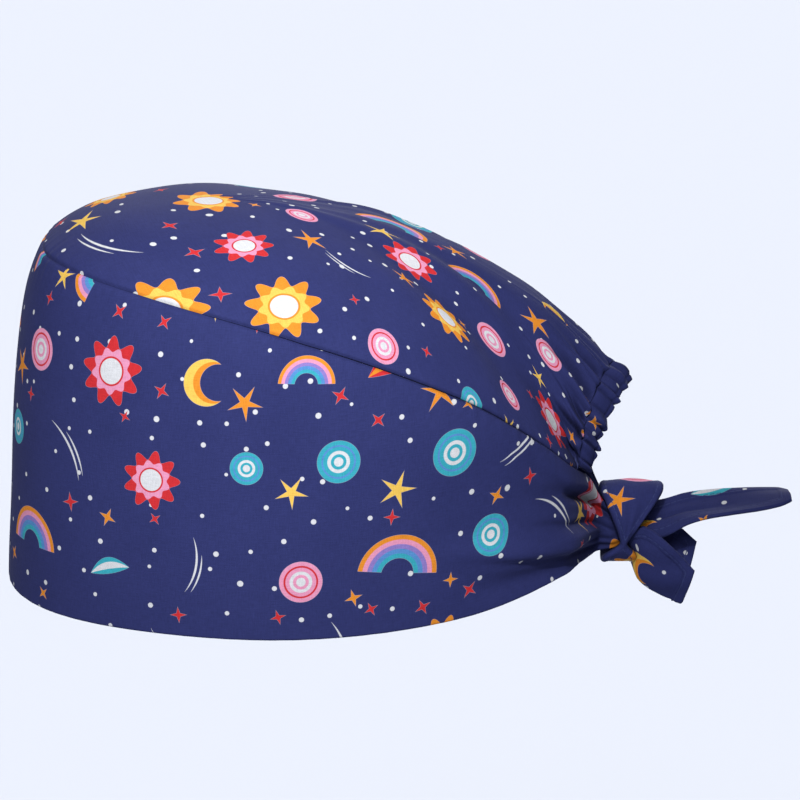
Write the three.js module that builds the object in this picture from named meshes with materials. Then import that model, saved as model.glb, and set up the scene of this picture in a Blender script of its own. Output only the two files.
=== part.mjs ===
// A tie-back surgical scrub cap in the form that it has when worn: a crown panel, a side band that runs
// from nape to nape, a gathered casing with the elastic in it, and the knot of the two ties with its tails.
// Millimetres, +Z up, the forehead towards -Y. The origin is the middle of the head opening.
import * as THREE from 'three';

// The head opening, measured on the outside of the band
const FRONT_REACH = 111;
const REAR_REACH = 109;
const HALF_WIDTH = 80.5;
const OUTLINE_POWER = 0.9;
const NAPE_START_ANGLE = 148;
const NAPE_NECK_ANGLE = 170;
const NAPE_NECK = 6;
const NAPE_NOSE = 5;
const NAPE_NOSE_ANGLE = 163.5;

// Heights above the opening at the forehead
const FRONT_HEIGHT = 125;
const CROWN_RISE = 16.5;
const APEX_FORWARD = 36;
const EDGE_ROLL = 0.18;
const EDGE_ROLL_POWER = 8;
const EDGE_HOLD = 3.5;
const PULL_SPREAD = 60;

// How far the band comes in between the rim and the seam: a slow lean, then a roll just under the seam
const FRONT_LEAN = 9.5;
const SIDE_LEAN = 5.5;
const REAR_LEAN = 1;
const LEAN_POWER = 1.2;
const SHOULDER_ROLL = 6.5;
const ROLL_POWER = 9;

// Cloth and the clearance between neighbouring pieces
const CLOTH = 1.2;
const SEAM_GAP = 0.45;

// The arched opening over the knot, with the elastic in its casing
const CROWN_END_ANGLE = 153.8;
const SEAM_END_ANGLE = 158.5;
const ARCH_RISE = 30.5;
const ARCH_REACH = 12.5;
const ARCH_BULGE = 2;
const CASING_DEPTH = 10;
const CASING_PUFF = 1.6;
const CASING_EDGE_PUFF = 0.12;
const GATHERS = 14;
const GATHER_HEIGHT = 1.5;
const GATHER_FADE = 26;
const GATHER_START = 0.15;

// The ties
const BAND_END_ANGLE = 175.5;
const TIE_WALL = 1.6;
const WRAP_HALF_WIDTH = 13.5;
const WRAP_HEIGHT = 31;
const WRAP_TOP_LENGTH = 23.5;
const WRAP_POINT_LENGTH = 5;
const WRAP_POINT_HEIGHT = 0.33;
const WRAP_TAPER = 1.5;
const WRAP_CREST = 0.1;
const WRAP_LEAN = 2.3;
const KNOT_LIFT = 1.5;
const LONG_TAIL_LENGTH = 63;
const LONG_TAIL_WIDTH = 19;
const SHORT_TAIL_LENGTH = 27;
const SHORT_TAIL_DEPTH = 17;
const TROUGH_ROUNDNESS = 1.25;
const TROUGH_BULGE = 0.1;

const QUARTER = Math.PI / 2;

// Half of the cap, from the forehead (0 degrees) to the knot. Heights are shares of FRONT_HEIGHT.
const STATIONS = [
  { angle: 0, rim: 0, top: 1, dome: 1, fullness: 2.3 },
  { angle: 30, rim: 0.007, top: 1.005, dome: 1.005, fullness: 2.3 },
  { angle: 60, rim: 0.021, top: 0.965, dome: 0.965, fullness: 2.2 },
  { angle: 90, rim: 0.03, top: 0.868, dome: 0.868, fullness: 2.1 },
  { angle: 120, rim: 0.062, top: 0.688, dome: 0.75, fullness: 2 },
  { angle: 140, rim: 0.101, top: 0.518, dome: 0.68, fullness: 2 },
  { angle: 148, rim: 0.111, top: 0.444, dome: 0.667, fullness: 2 },
  { angle: CROWN_END_ANGLE, rim: 0.104, top: 0.385, dome: 0.662, fullness: 2.1 },
  { angle: SEAM_END_ANGLE, rim: 0.083, top: 0.335, dome: 0.658, fullness: 2.15 },
  { angle: 163, rim: 0.07, top: 0.285, dome: 0.654, fullness: 2.15 },
  { angle: NAPE_NECK_ANGLE, rim: 0.07, top: 0.205, dome: 0.65, fullness: 2.15 },
  { angle: BAND_END_ANGLE, rim: 0.085, top: 0.18, dome: 0.648, fullness: 2.15 },
  { angle: 180, rim: 0.085, top: 0.18, dome: 0.647, fullness: 2.15 },
];

// Folds of the band that run into the knot. Heights are shares of the band's own height at that place,
// depth and width are shares of SHOULDER_ROLL and HALF_WIDTH; a negative depth is a valley. Each narrows to
// FOLD_NARROWING of its width at the knot.
const FOLD_NARROWING = 0.55;
const FOLDS = [
  { fromAngle: 112, fromHeight: 0.3, toAngle: 172, toHeight: 0.3, depth: 0.35, width: 0.075 },
  { fromAngle: 118, fromHeight: 0.12, toAngle: 172, toHeight: 0.1, depth: -0.35, width: 0.06 },
  { fromAngle: 130, fromHeight: 0.62, toAngle: 172, toHeight: 0.66, depth: -0.35, width: 0.08 },
  { fromAngle: 138, fromHeight: 0.84, toAngle: 172, toHeight: 0.86, depth: 0.2, width: 0.07 },
];

// The crown's soft hollows and swells. Reach is the share of the way from the crown's top to its edge.
const DENTS = [
  { angle: 62, reach: 0.8, across: 18, along: 0.16, depth: -0.2 },
  { angle: 128, reach: 0.66, across: 9, along: 0.16, depth: 0.15 },
  { angle: 143, reach: 0.74, across: 7, along: 0.16, depth: -0.25 },
  { angle: 155, reach: 0.6, across: 7, along: 0.2, depth: 0.2 },
  { angle: 166, reach: 0.7, across: 5, along: 0.16, depth: -0.2 },
];

// The long tail's line from inside the knot to its tip, as offsets from the end of one band. Along, x and z are
// shares of its length, width is a share of the full width, and turn is how far it leans over from upright.
const LONG_TAIL = [
  { along: 0, x: 0, z: 0.03, width: 0.55, turn: 6 },
  { along: 0.1, x: -0.02, z: 0.04, width: 0.66, turn: 25 },
  { along: 0.25, x: -0.08, z: 0.04, width: 0.9, turn: 55 },
  { along: 0.4, x: -0.11, z: 0.085, width: 1, turn: 72 },
  { along: 0.65, x: -0.13, z: 0.12, width: 1, turn: 84 },
  { along: 0.93, x: -0.13, z: 0.16, width: 0.9, turn: 89 },
  { along: 1, x: -0.13, z: 0.165, width: 0.6, turn: 90 },
];

// The short tail is a strip folded lengthwise, with its fold at the bottom. The offsets from the knot's middle
// are shares: along of its length, and all others of its folded depth.
const SHORT_TAIL = [
  { along: 0.04, foldX: 0.18, foldZ: -0.72, nearX: 0.57, nearZ: 0.02, nearY: 0, farX: -0.42, farZ: 0.14, farY: 0 },
  { along: 0.2, foldX: 0.3, foldZ: -1.25, nearX: 0.6, nearZ: 0.05, nearY: 0.1, farX: -0.42, farZ: 0.08, farY: 0.08 },
  { along: 0.5, foldX: 0.45, foldZ: -1.56, nearX: 0.7, nearZ: -0.3, nearY: 0.14, farX: -0.5, farZ: -0.2, farY: 0.24 },
  { along: 0.8, foldX: 0.5, foldZ: -1.7, nearX: 0.7, nearZ: -0.9, nearY: 0.22, farX: -0.47, farZ: -0.7, farY: 0.35 },
];

const degrees = THREE.MathUtils.degToRad;
const mix = THREE.MathUtils.lerp;

// Smooth value of one column of a table at a place along it; the curve starts level.
function tableValue(rows, key, column, at) {
  const last = rows.length - 1;
  const slope = (i) => {
    if (i === 0) return 0;
    const a = rows[i - 1];
    const b = rows[Math.min(i + 1, last)];
    return (b[column] - a[column]) / (b[key] - a[key]);
  };
  let i = 0;
  while (i < last - 1 && at > rows[i + 1][key]) i += 1;
  const span = rows[i + 1][key] - rows[i][key];
  const t = THREE.MathUtils.clamp((at - rows[i][key]) / span, 0, 1);
  const ease = t * t * (3 - 2 * t);
  const enter = t * (1 - t) * (1 - t) * span * slope(i);
  const leave = t * t * (t - 1) * span * slope(i + 1);
  return mix(rows[i][column], rows[i + 1][column], ease) + enter + leave;
}

// A closed body from two grids of points, an outer and an inner one, joined along their edges.
// pointAt(row, column, inside) gives a Vector3. The columns may wrap round, and the last row may be one point.
function sheetSolid(rowCount, columnCount, pointAt, { wraps = false, pole = false } = {}) {
  const points = [];
  for (const inside of [false, true])
    for (let r = 0; r < rowCount; r += 1)
      for (let c = 0; c < columnCount; c += 1) points.push(pointAt(r, c, inside));
  const lastRow = rowCount - 1;
  const side = rowCount * columnCount;
  const at = (r, c, inside) => {
    const column = pole && r === lastRow ? 0 : c % columnCount;
    return (inside ? side : 0) + r * columnCount + column;
  };
  const faces = [];
  const quad = (a, b, c, d) => {
    if (a !== b) faces.push([a, b, c]);
    if (c !== d) faces.push([a, c, d]);
  };
  const columnEnd = wraps ? columnCount : columnCount - 1;
  for (let r = 0; r < lastRow; r += 1)
    for (let c = 0; c < columnEnd; c += 1) {
      quad(at(r, c, false), at(r, c + 1, false), at(r + 1, c + 1, false), at(r + 1, c, false));
      quad(at(r, c + 1, true), at(r, c, true), at(r + 1, c, true), at(r + 1, c + 1, true));
    }
  for (let c = 0; c < columnEnd; c += 1) {
    quad(at(0, c + 1, false), at(0, c, false), at(0, c, true), at(0, c + 1, true));
    if (!pole)
      quad(at(lastRow, c, false), at(lastRow, c + 1, false), at(lastRow, c + 1, true), at(lastRow, c, true));
  }
  if (!wraps)
    for (let r = 0; r < lastRow; r += 1) {
      const c = columnCount - 1;
      quad(at(r, 0, false), at(r + 1, 0, false), at(r + 1, 0, true), at(r, 0, true));
      quad(at(r + 1, c, false), at(r, c, false), at(r, c, true), at(r + 1, c, true));
    }
  return facingOut(points, faces);
}

// Turns the faces round if they enclose a negative volume, and makes the geometry.
function facingOut(points, faces) {
  const cross = new THREE.Vector3();
  let volume = 0;
  for (const [a, b, c] of faces) volume += points[a].dot(cross.crossVectors(points[b], points[c]));
  const index = faces.flatMap(([a, b, c]) => (volume < 0 ? [a, c, b] : [a, b, c]));
  const used = [...new Set(index)];
  const place = new Map(used.map((old, now) => [old, now]));
  const geometry = new THREE.BufferGeometry();
  geometry.setFromPoints(used.map((i) => points[i]));
  geometry.setIndex(index.map((i) => place.get(i)));
  geometry.computeVertexNormals();
  return geometry;
}

// Plan outlines of the opening, of the band's upper wall and of the seam
const LEAN_OUTLINE = {
  front: FRONT_REACH - FRONT_LEAN,
  rear: REAR_REACH - REAR_LEAN,
  side: HALF_WIDTH - SIDE_LEAN,
};
const RIM_OUTLINE = { front: FRONT_REACH, rear: REAR_REACH, side: HALF_WIDTH };
const SEAM_OUTLINE = {
  front: LEAN_OUTLINE.front - SHOULDER_ROLL,
  rear: LEAN_OUTLINE.rear,
  side: LEAN_OUTLINE.side - SHOULDER_ROLL,
};
const APEX = new THREE.Vector3(0, -APEX_FORWARD, FRONT_HEIGHT + CROWN_RISE);
const MIDDLE = new THREE.Vector3(0, 0, FRONT_HEIGHT / 3);

function outlinePoint(outline, angle) {
  const turn = degrees(angle);
  const across = Math.sign(angle) * Math.abs(Math.sin(turn)) ** OUTLINE_POWER;
  const along = -Math.cos(turn);
  const reach = (along < 0 ? outline.front : outline.rear) * along;
  const drawnIn = THREE.MathUtils.smoothstep(Math.abs(angle), NAPE_START_ANGLE, NAPE_NECK_ANGLE);
  const nose = NAPE_NOSE * THREE.MathUtils.smoothstep(Math.abs(angle), NAPE_NOSE_ANGLE, BAND_END_ANGLE);
  const neck = Math.sign(angle) * NAPE_NECK;
  return new THREE.Vector3(mix(outline.side * across, neck, drawnIn), reach + nose, 0);
}

const rimHeight = (angle) => FRONT_HEIGHT * tableValue(STATIONS, 'angle', 'rim', Math.abs(angle));
const topHeight = (angle) => FRONT_HEIGHT * tableValue(STATIONS, 'angle', 'top', Math.abs(angle));

// A point of the band: share 0 is the rim and share 1 its upper edge.
function bandPoint(angle, share) {
  const rim = outlinePoint(RIM_OUTLINE, angle);
  const wall = outlinePoint(LEAN_OUTLINE, angle);
  const seam = outlinePoint(SEAM_OUTLINE, angle);
  const point = rim.clone().addScaledVector(wall.clone().sub(rim), share ** LEAN_POWER);
  point.addScaledVector(seam.sub(wall), share ** ROLL_POWER);
  point.z = mix(rimHeight(angle), topHeight(angle), share);
  return point;
}

// How far the folds push a point of the band out
function foldHeight(angle, share) {
  const around = Math.abs(angle);
  let height = 0;
  for (const fold of FOLDS) {
    const run = THREE.MathUtils.clamp((around - fold.fromAngle) / (fold.toAngle - fold.fromAngle), 0, 1);
    const middle = mix(fold.fromHeight, fold.toHeight, run);
    const tall = topHeight(angle) - rimHeight(angle);
    const off = ((share - middle) * tall) / (fold.width * HALF_WIDTH * mix(1, FOLD_NARROWING, run));
    height += fold.depth * SHOULDER_ROLL * Math.sin(run * Math.PI) * Math.exp(-off * off);
  }
  return height;
}

// The lower edge of the crown: the seam, and past its ends the stitch line of the arch
const CROWN_END = bandPoint(CROWN_END_ANGLE, 1);
const archClimb = (angle) => QUARTER * ((Math.abs(angle) - CROWN_END_ANGLE) / (180 - CROWN_END_ANGLE));
function crownEdge(angle) {
  const climb = archClimb(angle);
  if (climb <= 0) return bandPoint(angle, 1);
  return new THREE.Vector3(
    Math.sign(angle) * (CROWN_END.x * Math.cos(climb) + ARCH_BULGE * Math.sin(2 * climb)),
    CROWN_END.y + ARCH_REACH * (1 - Math.cos(climb)),
    CROWN_END.z + ARCH_RISE * Math.sin(climb),
  );
}

// The loop that the crown would end in without its seam's dip to the nape. It shapes the dome, and the real
// edge pulls the cloth down only near itself.
const ARCH_TOP = crownEdge(180);
function domeEdge(angle) {
  const turn = degrees(angle);
  const across = Math.sign(angle) * Math.abs(Math.sin(turn)) ** OUTLINE_POWER;
  const along = -Math.cos(turn);
  const reach = along < 0 ? SEAM_OUTLINE.front : ARCH_TOP.y;
  const height = FRONT_HEIGHT * tableValue(STATIONS, 'angle', 'dome', Math.abs(angle));
  return new THREE.Vector3(SEAM_OUTLINE.side * across, reach * along, height);
}

// The casing runs back and down from the stitch line to its free edge, which is share 1. Its lowest end lies
// along the band's top edge, and its top end falls most steeply.
const CASING_RUN = { low: [-0.75, 0.4, -0.55], top: [0, 0.72, -0.74] };
function casingPoint(angle, share) {
  const climb = archClimb(angle);
  const low = new THREE.Vector3(...CASING_RUN.low);
  const top = new THREE.Vector3(...CASING_RUN.top);
  const run = low.multiplyScalar(Math.cos(climb) ** 2).addScaledVector(top, Math.sin(climb)).normalize();
  run.x *= Math.sign(angle);
  return crownEdge(angle).addScaledVector(run, share * CASING_DEPTH);
}

// How far the real edge lies from that loop. Away from the edge the pull of a stretch of it is shared out, so
// that the corners of the seam at the arch leave no crease up the crown.
const PULL_SHARES = [
  { off: -1, weight: 0.05 },
  { off: -0.66, weight: 0.13 },
  { off: -0.33, weight: 0.2 },
  { off: 0, weight: 0.24 },
  { off: 0.33, weight: 0.2 },
  { off: 0.66, weight: 0.13 },
  { off: 1, weight: 0.05 },
];
function edgePull(angle, reach) {
  const pull = new THREE.Vector3();
  for (const { off, weight } of PULL_SHARES) {
    const turned = angle + off * PULL_SPREAD * (1 - reach);
    const place = turned > 180 ? turned - 360 : turned < -180 ? turned + 360 : turned;
    pull.addScaledVector(crownEdge(place).sub(domeEdge(place)), weight);
  }
  return pull.multiplyScalar(reach ** EDGE_HOLD);
}

// A point of the crown: reach 0 is its top and reach 1 its edge.
function crownPoint(angle, reach) {
  const edge = domeEdge(angle);
  const point = APEX.clone().lerp(edge, reach);
  const fullness = tableValue(STATIONS, 'angle', 'fullness', Math.abs(angle));
  const drop = mix(reach ** fullness, reach ** EDGE_ROLL_POWER, EDGE_ROLL);
  point.z = mix(APEX.z, edge.z, drop);
  return point.add(edgePull(angle, reach));
}

// Outward normal of a surface that is given by a function of an angle and a share
function normalOf(surface, angle, share) {
  const step = 0.01;
  const turn = surface(angle + 0.5, share).sub(surface(angle - 0.5, share));
  const climb = surface(angle, share + step).sub(surface(angle, share - step));
  const normal = turn.cross(climb).normalize();
  const outward = surface(angle, share).sub(MIDDLE);
  return normal.dot(outward) < 0 ? normal.negate() : normal;
}

// Share of a panel over which its edge takes the slant of its neighbour
const EDGE_STRIP = 0.03;

// Along the seam both panels are cut on the same slant, so that their edges stay parallel.
function seamNormal(angle) {
  const below = normalOf(bandPoint, angle, 1 - EDGE_STRIP);
  return below.add(normalOf(crownPoint, angle, 1 - EDGE_STRIP)).normalize();
}

// Length of cloth for each unit of reach, near the crown's edge
const edgeLength = (angle) => crownPoint(angle, 1).distanceTo(crownPoint(angle, 1 - EDGE_STRIP)) / EDGE_STRIP;
const isArch = (angle) => Math.abs(angle) > CROWN_END_ANGLE;

// The casing's lowest end stands just clear of the band, by this many degrees.
const CASING_START = 0.7;

// The gathers: ridges across the casing that die away up the crown
function gatherWave(angle) {
  const past = archClimb(angle) / QUARTER;
  if (past <= 0) return 0;
  const ridge = 0.5 - 0.5 * Math.cos(past * GATHERS * Math.PI);
  return ridge * THREE.MathUtils.smoothstep(past, 0, GATHER_START);
}

function stitchNormal(angle) {
  const above = normalOf(crownPoint, angle, 1 - EDGE_STRIP);
  return above.add(normalOf(casingPoint, angle, EDGE_STRIP)).normalize();
}

function dentHeight(angle, reach) {
  let height = 0;
  for (const dent of DENTS) {
    const across = (Math.abs(angle) - dent.angle) / dent.across;
    const along = (reach - dent.reach) / dent.along;
    height += dent.depth * SHOULDER_ROLL * Math.exp(-across * across - along * along);
  }
  return height;
}

// Angles round the crown: even along the seam, and several to each gather over the arch
const SEAM_COLUMNS = 30;
const COLUMNS_PER_GATHER = 6;
function halfAngles() {
  const arch = (GATHERS * COLUMNS_PER_GATHER) / 2;
  const seam = Array.from({ length: SEAM_COLUMNS }, (_, i) => (CROWN_END_ANGLE * i) / SEAM_COLUMNS);
  const rest = Array.from({ length: arch + 1 }, (_, i) => mix(CROWN_END_ANGLE, 180, i / arch));
  return [...seam, ...rest];
}

function crownPanel() {
  const half = halfAngles();
  const angles = [...half, ...half.slice(1, -1).reverse().map((a) => -a)];
  const reaches = [1, 0.975, 0.93, 0.87, 0.79, 0.69, 0.56, 0.4, 0.22, 0];
  const normals = new Map();
  const pointAt = (row, column, inside) => {
    const angle = angles[column];
    const reach = reaches[row] * (1 - SEAM_GAP / 2 / edgeLength(angle));
    const key = `${row},${column}`;
    if (!normals.has(key)) {
      const atEdge = isArch(angle) ? stitchNormal(angle) : seamNormal(angle);
      const level = row === reaches.length - 1;
      const normal = row === 0 ? atEdge : normalOf(crownPoint, angle, Math.max(reach, EDGE_STRIP));
      normals.set(key, level ? new THREE.Vector3(0, 0, 1) : normal);
    }
    const fade = Math.exp((-(1 - reach) * edgeLength(angle)) / GATHER_FADE);
    const swell = gatherWave(angle) * GATHER_HEIGHT * fade;
    const soft = dentHeight(angle, reach);
    const out = inside ? soft - CLOTH : soft + swell;
    return crownPoint(angle, reach).addScaledVector(normals.get(key), out);
  };
  return sheetSolid(reaches.length, angles.length, pointAt, { wraps: true, pole: true });
}

function elasticCasing() {
  const half = halfAngles().filter((a) => a > CROWN_END_ANGLE + CASING_START);
  const angles = [...half, ...half.slice(0, -1).reverse().map((a) => 360 - a)];
  const shares = [0, 0.25, 0.5, 0.75, 1];
  const pointAt = (row, column, inside) => {
    const around = angles[column];
    const angle = around > 180 ? around - 360 : around;
    const share = row === 0 ? SEAM_GAP / CASING_DEPTH : shares[row];
    const puff = Math.sin(Math.PI * mix(CASING_EDGE_PUFF, 1 - CASING_EDGE_PUFF, shares[row]));
    const swell = CASING_PUFF * puff + gatherWave(angle) * GATHER_HEIGHT;
    const out = inside ? -CLOTH - CASING_PUFF * puff : swell;
    const normal = row === 0 ? stitchNormal(angle) : normalOf(casingPoint, angle, share);
    return casingPoint(angle, share).addScaledVector(normal, out);
  };
  return sheetSolid(shares.length, angles.length, pointAt);
}

function sideBand() {
  const seam = Array.from({ length: SEAM_COLUMNS + 1 }, (_, i) => (CROWN_END_ANGLE * i) / SEAM_COLUMNS);
  const free = [0.2, 0.4, 0.6, 0.8, 1].map((t) => mix(CROWN_END_ANGLE, BAND_END_ANGLE, t));
  const half = [...seam, ...free];
  const angles = [...half.slice(1).reverse().map((a) => -a), ...half];
  const shares = [0, 0.1, 0.2, 0.3, 0.42, 0.55, 0.68, 0.8, 0.91, 1];
  const pointAt = (row, column, inside) => {
    const angle = angles[column];
    const tall = topHeight(angle) - rimHeight(angle);
    const top = row === shares.length - 1;
    const share = shares[row] * (1 - SEAM_GAP / 2 / tall);
    const slanted = top && !isArch(angle);
    const normal = slanted ? seamNormal(angle) : normalOf(bandPoint, angle, Math.max(share, EDGE_STRIP));
    const out = (inside ? -CLOTH : 0) + (top ? 0 : foldHeight(angle, share));
    return bandPoint(angle, share).addScaledVector(normal, out);
  };
  return sheetSolid(shares.length, angles.length, pointAt);
}

// The strand that goes round the knot: a wide flap over the top whose sides run down to a point, and a narrow
// strip underneath. It leans back at its top.
const BAND_END = bandPoint(BAND_END_ANGLE, 0.5);
const KNOT = new THREE.Vector3(0, BAND_END.y + WRAP_LEAN, BAND_END.z + KNOT_LIFT);

function knotWrap() {
  const columns = 32;
  const shares = [-1, -0.5, 0, 0.5, 1];
  const pointAt = (row, column, inside) => {
    const turn = (column / columns) * 2 * Math.PI;
    const lift = (1 + Math.sin(turn)) / 2;
    const above = Math.max((lift - WRAP_POINT_HEIGHT) / (1 - WRAP_POINT_HEIGHT), 0);
    const half = mix(WRAP_POINT_LENGTH, WRAP_TOP_LENGTH, above ** WRAP_TAPER) / 2;
    const crest = 1 - WRAP_CREST * shares[row] * shares[row] * lift;
    const inset = inside ? TIE_WALL : 0;
    return new THREE.Vector3(
      KNOT.x + (WRAP_HALF_WIDTH - inset) * Math.cos(turn) * crest,
      KNOT.y + WRAP_LEAN * Math.sin(turn) + half * shares[row],
      KNOT.z + (WRAP_HEIGHT / 2 - inset) * Math.sin(turn) * crest,
    );
  };
  return sheetSolid(shares.length, columns, pointAt, { wraps: true });
}

// The long tail: a flat strip that leaves the knot upright and turns level towards its tip
function longTail() {
  const stations = 20;
  const across = [-1, -0.6, 0, 0.6, 1];
  const lens = [0.45, 0.9, 1, 0.9, 0.45];
  const root = BAND_END.clone().setY(BAND_END.y + SEAM_GAP);
  const pointAt = (row, column, inside) => {
    const along = row / (stations - 1);
    const value = (name) => tableValue(LONG_TAIL, 'along', name, along);
    const turn = degrees(value('turn'));
    const width = (across[column] * value('width') * LONG_TAIL_WIDTH) / 2;
    const thick = (TIE_WALL / 2) * lens[column] * (inside ? -1 : 1);
    const wide = new THREE.Vector3(-Math.sin(turn), 0, Math.cos(turn));
    const face = new THREE.Vector3(Math.cos(turn), 0, Math.sin(turn));
    const line = new THREE.Vector3(value('x'), along, value('z')).multiplyScalar(LONG_TAIL_LENGTH);
    return line.add(root).addScaledVector(wide, width).addScaledVector(face, thick);
  };
  return sheetSolid(stations, across.length, pointAt);
}

// The short tail: a strip folded lengthwise into a trough, open upwards
function shortTail() {
  const rows = 10;
  const first = SHORT_TAIL[0].along;
  const last = SHORT_TAIL[SHORT_TAIL.length - 1].along;
  const ways = [-1, -0.7, -0.4, -0.12, 0.12, 0.4, 0.7, 1];
  const middle = (row, way) => {
    const along = mix(first, last, row / (rows - 1));
    const value = (name) => tableValue(SHORT_TAIL, 'along', name, along) * SHORT_TAIL_DEPTH;
    const edge = way < 0 ? 'near' : 'far';
    const fold = new THREE.Vector3(value('foldX'), 0, value('foldZ'));
    const lip = new THREE.Vector3(value(`${edge}X`), value(`${edge}Y`), value(`${edge}Z`));
    const point = fold.lerp(lip, Math.abs(way) ** TROUGH_ROUNDNESS);
    point.x += Math.sign(-way) * Math.sin(Math.PI * Math.abs(way)) * SHORT_TAIL_DEPTH * TROUGH_BULGE;
    point.y += along * SHORT_TAIL_LENGTH;
    return point.add(KNOT);
  };
  const pointAt = (row, column, inside) => {
    const across = middle(row, ways[Math.min(column + 1, ways.length - 1)]);
    across.sub(middle(row, ways[Math.max(column - 1, 0)]));
    const run = middle(Math.min(row + 1, rows - 1), ways[column]).sub(middle(Math.max(row - 1, 0), ways[column]));
    const normal = across.cross(run).normalize();
    return middle(row, ways[column]).addScaledVector(normal, (inside ? -TIE_WALL : TIE_WALL) / 2);
  };
  return sheetSolid(rows, ways.length, pointAt);
}

const cotton = (name, colour) => {
  const material = new THREE.MeshStandardMaterial({ color: colour, roughness: 0.9, metalness: 0 });
  material.name = name;
  return material;
};
const NAVY_PRINT = 0x2c3170;
const pieces = [
  { name: 'crown_panel', build: crownPanel },
  { name: 'side_band', build: sideBand },
  { name: 'elastic_casing', build: elasticCasing },
  { name: 'knot_wrap', build: knotWrap },
  { name: 'tie_tail_long', build: longTail },
  { name: 'tie_tail_short', build: shortTail },
];

const cap = new THREE.Group();
cap.name = 'scrub_cap';
for (const { name, build } of pieces) {
  const mesh = new THREE.Mesh(build(), cotton(name, NAVY_PRINT));
  mesh.name = name;
  cap.add(mesh);
}

export default cap;
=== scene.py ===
# A tie-back surgical scrub cap of printed cotton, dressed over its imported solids. Lengths of the cloth's
# forms are in millimetres, and everything in Blender is in metres. The forehead is towards -Y and the
# wearer's left is +X, which is the side that the camera sees.
import math

import bpy
import numpy as np
from mathutils import Matrix


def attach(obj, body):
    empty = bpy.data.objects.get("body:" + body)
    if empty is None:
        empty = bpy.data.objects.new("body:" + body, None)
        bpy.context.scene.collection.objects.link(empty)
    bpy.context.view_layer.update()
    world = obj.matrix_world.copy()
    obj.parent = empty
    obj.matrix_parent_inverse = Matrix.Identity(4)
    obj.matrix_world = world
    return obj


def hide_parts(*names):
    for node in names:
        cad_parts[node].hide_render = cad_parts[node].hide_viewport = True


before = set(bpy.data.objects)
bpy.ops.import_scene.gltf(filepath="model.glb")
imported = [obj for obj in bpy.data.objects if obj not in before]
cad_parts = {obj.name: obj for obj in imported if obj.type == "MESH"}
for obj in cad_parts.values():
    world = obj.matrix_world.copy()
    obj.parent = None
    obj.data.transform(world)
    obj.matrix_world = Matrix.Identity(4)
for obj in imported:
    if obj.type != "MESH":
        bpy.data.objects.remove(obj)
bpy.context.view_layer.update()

MM = 0.001

# Camera of the photograph
VIEW_HEIGHT = 19.0
VIEW_DISTANCE = 1300.0
VIEW_TARGET = (0.0, 33.0, 64.6)
SENSOR = 36.0
LENS = 160.9

# The head opening, measured on the outside of the band
FRONT_REACH = 111.0
REAR_REACH = 109.0
HALF_WIDTH = 80.5
OUTLINE_POWER = 0.9
NAPE_START_ANGLE = 148.0
NAPE_NECK_ANGLE = 170.0
NAPE_NECK = 6.0
NAPE_NOSE = 5.0
NAPE_NOSE_ANGLE = 163.5

# Heights above the opening at the forehead
FRONT_HEIGHT = 125.0
CROWN_RISE = 16.5
APEX_FORWARD = 36.0
EDGE_ROLL = 0.18
EDGE_ROLL_POWER = 8
EDGE_HOLD = 3.5
PULL_SPREAD = 60.0
PULL_SAMPLES = 13
PULL_CUT = 0.93

# How far the band comes in between the rim and the seam
FRONT_LEAN = 9.5
SIDE_LEAN = 5.5
REAR_LEAN = 1.0
LEAN_POWER = 1.2
SHOULDER_ROLL = 6.5
ROLL_POWER = 9

# The arched opening over the knot
CROWN_END_ANGLE = 153.8
SEAM_END_ANGLE = 158.5
ARCH_RISE = 30.5
ARCH_REACH = 12.5
ARCH_BULGE = 2.0
ARCH_STITCH_DEPTH = 0.3
ARCH_STITCH_WIDTH = 1.2
CASING_DEPTH = 10.0
CASING_PUFF = 1.5
CASING_EDGE_PUFF = 0.1
CASING_START = 0.7
CASING_STITCH = 0.8
CASING_STITCH_WIDTH = 0.05
CASING_STITCH_DEPTH = 0.5
CASING_TAKE_UP = 1.5
SCALLOP = 0.09
SCALLOP_LEVEL = 0.6
RUFFLE_LEVEL = 0.25
RUFFLE_SWAY = 0.35
RUFFLE_TURNS = (5, 0.6)
RUFFLE_INSIDE = 0.6
CASING_LOW = (-0.75, 0.4, -0.55)
CASING_TOP = (0.0, 0.72, -0.74)

# The gathers along the arch. Each wave that makes them uneven is a height, its turns along the arch in
# radians, and a phase
GATHERS = 19
GATHER_HEIGHT = 2.1
GATHER_FADE = 15.0
GATHER_START = 0.1
GATHER_REACH = 0.7
RIDGE_SHARPNESS = 1.9
RIDGE_FULLNESS = 0.62
RIDGE_HEIGHT = 0.8
PLACE_WAVES = [(0.2, 17, 0), (0.12, 41, 2)]
HEIGHT_WAVE = (0.35, 29, 1)
REACH_WAVE = (0.5, 2.4, 0.8)
FAR_SIDE_PHASE = 1.7

# The ties
BAND_END_ANGLE = 175.5
WRAP_HALF_WIDTH = 13.5
WRAP_HEIGHT = 31.0
WRAP_TOP_LENGTH = 23.5
WRAP_POINT_LENGTH = 2.6
WRAP_POINT_HEIGHT = 0.33
WRAP_TAPER = 1.2
WRAP_UNDER_LENGTH = 10.0
WRAP_UNDER_TOP = 0.08
WRAP_CREST = 0.1
WRAP_LEAN = 2.3
WRAP_PLEAT = 0.45
WRAP_PLEAT_TURNS = (6.5, 0.9)
WRAP_HEM_RISE = 0.35
WRAP_STITCH = 2.0
WRAP_STITCH_DEPTH = 0.25
WRAP_EDGE_ROUND = 0.7
FINE_FADE = 0.35
KNOT_LIFT = 1.5
STRAND_HALF_WIDTH = 11.2
STRAND_HALF_HEIGHT = 13.2
STRAND_BULGE = 4.5
STRAND_PLEAT = 1.1
STRAND_PLEAT_TURNS = (9, 1.3)
STRAND_SLANT = (0.8, 0.6)
STRAND_PRINT = (40, 20)
LONG_TAIL_LENGTH = 63.0
LONG_TAIL_WIDTH = 19.0
LONG_TAIL_WAVE = 0.8
LONG_TAIL_CREASE = 1.1
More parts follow.
